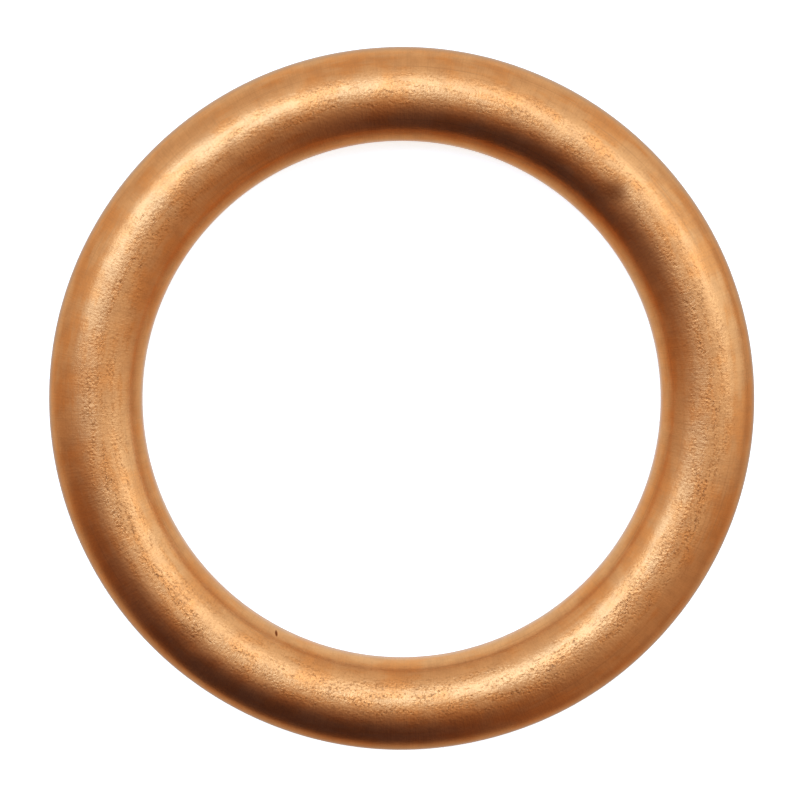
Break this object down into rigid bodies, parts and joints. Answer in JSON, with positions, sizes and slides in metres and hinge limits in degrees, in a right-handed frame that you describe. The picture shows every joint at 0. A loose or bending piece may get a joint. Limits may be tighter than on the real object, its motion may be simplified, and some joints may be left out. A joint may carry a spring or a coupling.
{
  "type": "copper exhaust gasket",
  "caption": "Hollow copper crush ring with a domed section and a lapped seam, which seals an exhaust pipe in its port.",
  "frame": {"origin": "centre of the ring, on the face that seats in the port", "axes": "+Z along the ring's axis, from the seat towards the crown, which the pipe presses on"},
  "size_m": [0.038, 0.038, 0.0045],
  "materials": {
    "annealed_copper": "bare annealed copper, satin, with fine pressing texture and light handling tarnish"
  },
  "bodies": {
    "root": {"crush_ring": "annealed_copper"}
  },
  "joints": []
}
